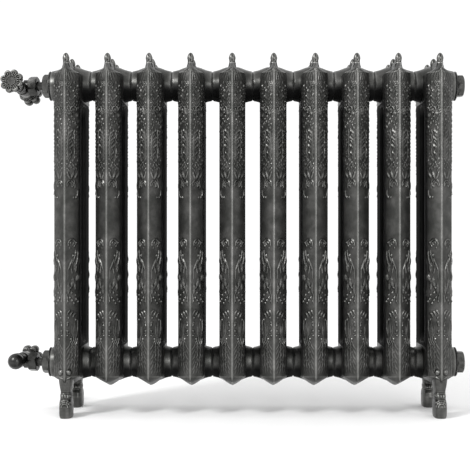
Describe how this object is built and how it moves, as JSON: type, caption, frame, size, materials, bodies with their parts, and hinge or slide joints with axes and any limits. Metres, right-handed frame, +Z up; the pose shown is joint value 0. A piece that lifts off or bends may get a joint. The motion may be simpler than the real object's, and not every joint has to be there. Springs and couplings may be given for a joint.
{
  "type": "radiator with valves",
  "caption": "Floor-standing ornate cast-iron column radiator with clawed feet, a handwheel feed valve, a capped return valve and blind end plugs.",
  "frame": {"origin": "on the floor, under the middle of the whole assembly with its valves", "axes": "+X along the row of sections from the valve end to the plug end, -Y towards the room, +Z up"},
  "size_m": [0.9908, 0.185, 0.768],
  "materials": {
    "cast_iron_pewter": "dark pewter lacquer, burnished bright on the raised ornament",
    "cast_iron_fittings": "dark pewter lacquer on machined faces",
    "valve_pewter": "brass plated in dark antique pewter",
    "steel": "turned",
    "brass": "turned",
    "gasket": "matt",
    "washer": "fibre"
  },
  "bodies": {
    "radiator": {"section_01": "cast_iron_pewter", "section_02": "cast_iron_pewter", "section_03": "cast_iron_pewter", "section_04": "cast_iron_pewter", "section_05": "cast_iron_pewter", "section_06": "cast_iron_pewter", "section_07": "cast_iron_pewter", "section_08": "cast_iron_pewter", "section_09": "cast_iron_pewter", "section_10": "cast_iron_pewter", "nipples_bottom": "steel", "nipples_top": "steel", "joint_gaskets_bottom": "gasket", "joint_gaskets_top": "gasket", "end_gasket_bottom_left": "gasket", "end_gasket_top_left": "gasket", "end_gasket_bottom_right": "gasket", "end_gasket_top_right": "gasket", "reducing_bush_bottom": "cast_iron_fittings", "reducing_bush_top": "cast_iron_fittings", "blanking_plug": "cast_iron_fittings", "air_vent_plug": "cast_iron_fittings", "feed_valve_body": "valve_pewter", "feed_tail_pipe": "valve_pewter", "feed_union_nut": "valve_pewter", "feed_inlet_nut": "valve_pewter", "feed_olive": "brass", "feed_bonnet": "valve_pewter", "feed_packing": "gasket", "feed_gland_nut": "valve_pewter", "return_valve_body": "valve_pewter", "return_tail_pipe": "valve_pewter", "return_union_nut": "valve_pewter", "return_inlet_nut": "valve_pewter", "return_olive": "brass", "return_bonnet": "valve_pewter", "return_packing": "gasket", "return_gland_nut": "valve_pewter"},
    "feed_handwheel_set": {"feed_handwheel": "valve_pewter", "feed_handwheel_screw": "valve_pewter", "feed_spindle": "steel"},
    "feed_disc_set": {"feed_disc": "brass", "feed_disc_washer": "washer"},
    "return_spindle_set": {"return_spindle": "steel"},
    "return_disc_set": {"return_disc": "brass", "return_disc_washer": "washer"},
    "lockshield_cap_set": {"lockshield_cap": "valve_pewter"},
    "air_vent_screw_set": {"air_vent_screw": "brass"}
  },
  "joints": [
    {"name": "feed_handwheel_turn", "type": "hinge", "parent": "radiator", "child": "feed_handwheel_set", "pos_m": [-0.46888, -0.05729, 0.70675], "axis": [-0.1128, -0.9898, 0.0872], "range_deg": [0, 1080]},
    {"name": "feed_disc_lift", "type": "slide", "parent": "radiator", "child": "feed_disc_set", "axis": [-0.1128, -0.9898, 0.0872], "range_m": [0, 0.0046]},
    {"name": "return_spindle_turn", "type": "hinge", "parent": "radiator", "child": "return_spindle_set", "pos_m": [-0.46714, -0.04205, 0.1145], "axis": [-0.1132, -0.9936, 0], "range_deg": [0, 1080]},
    {"name": "return_disc_lift", "type": "slide", "parent": "radiator", "child": "return_disc_set", "axis": [-0.1132, -0.9936, 0], "range_m": [0, 0.0046]},
    {"name": "lockshield_cap_pull", "type": "slide", "parent": "radiator", "child": "lockshield_cap_set", "axis": [-0.1132, -0.9936, 0], "range_m": [0, 0.03]},
    {"name": "air_vent_screw_turn", "type": "hinge", "parent": "radiator", "child": "air_vent_screw_set", "pos_m": [0.48735, 0, 0.708], "axis": [1, 0, 0], "range_deg": [0, 540]}
  ],
  "couplings": [
    {"joint": "feed_disc_lift", "follows": "feed_handwheel_turn", "m_per_rad": 0.00023873},
    {"joint": "return_disc_lift", "follows": "return_spindle_turn", "m_per_rad": 0.00023873}
  ]
}
